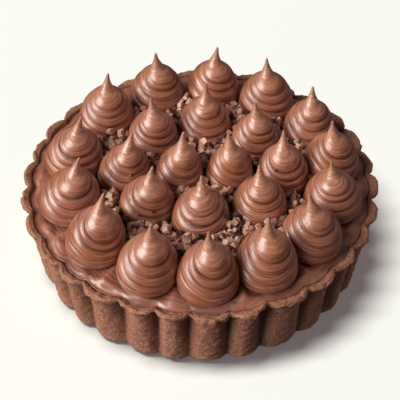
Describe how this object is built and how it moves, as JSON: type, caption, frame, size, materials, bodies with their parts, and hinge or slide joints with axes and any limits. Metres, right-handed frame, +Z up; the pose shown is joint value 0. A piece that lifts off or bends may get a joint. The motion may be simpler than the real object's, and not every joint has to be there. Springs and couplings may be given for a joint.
{
  "type": "chocolate tart",
  "caption": "Round fluted chocolate shortcrust tart filled with smooth chocolate cream and covered in rings of piped chocolate kisses, drawn up to thin points.",
  "frame": {"origin": "centre of the flat underside of the case", "axes": "+Z up through the points of the piped kisses; -Y towards the side of the tart that faces the viewer; +X to that viewer's right"},
  "size_m": [0.1808, 0.1806, 0.0765],
  "materials": {
    "crust": "baked chocolate shortcrust: matte, crumbly, brown",
    "filling": "smooth set chocolate cream: satin gloss, light milk-chocolate brown",
    "piped_cream": "piped chocolate cream: satin gloss, milk-chocolate brown",
    "crumbs": "chopped chocolate and nib crumbs: matte, light and dark brown"
  },
  "bodies": {
    "root": {"crust": "crust", "filling": "filling", "kiss_outer_01": "piped_cream", "kiss_outer_02": "piped_cream", "kiss_outer_03": "piped_cream", "kiss_outer_04": "piped_cream", "kiss_outer_05": "piped_cream", "kiss_outer_06": "piped_cream", "kiss_outer_07": "piped_cream", "kiss_outer_08": "piped_cream", "kiss_outer_09": "piped_cream", "kiss_outer_10": "piped_cream", "kiss_outer_11": "piped_cream", "kiss_outer_12": "piped_cream", "kiss_outer_13": "piped_cream", "kiss_outer_14": "piped_cream", "kiss_middle_01": "piped_cream", "kiss_middle_02": "piped_cream", "kiss_middle_03": "piped_cream", "kiss_middle_04": "piped_cream", "kiss_middle_05": "piped_cream", "kiss_middle_06": "piped_cream", "kiss_middle_07": "piped_cream", "kiss_middle_08": "piped_cream", "kiss_inner_01": "piped_cream", "kiss_inner_02": "piped_cream"}
  },
  "joints": []
}
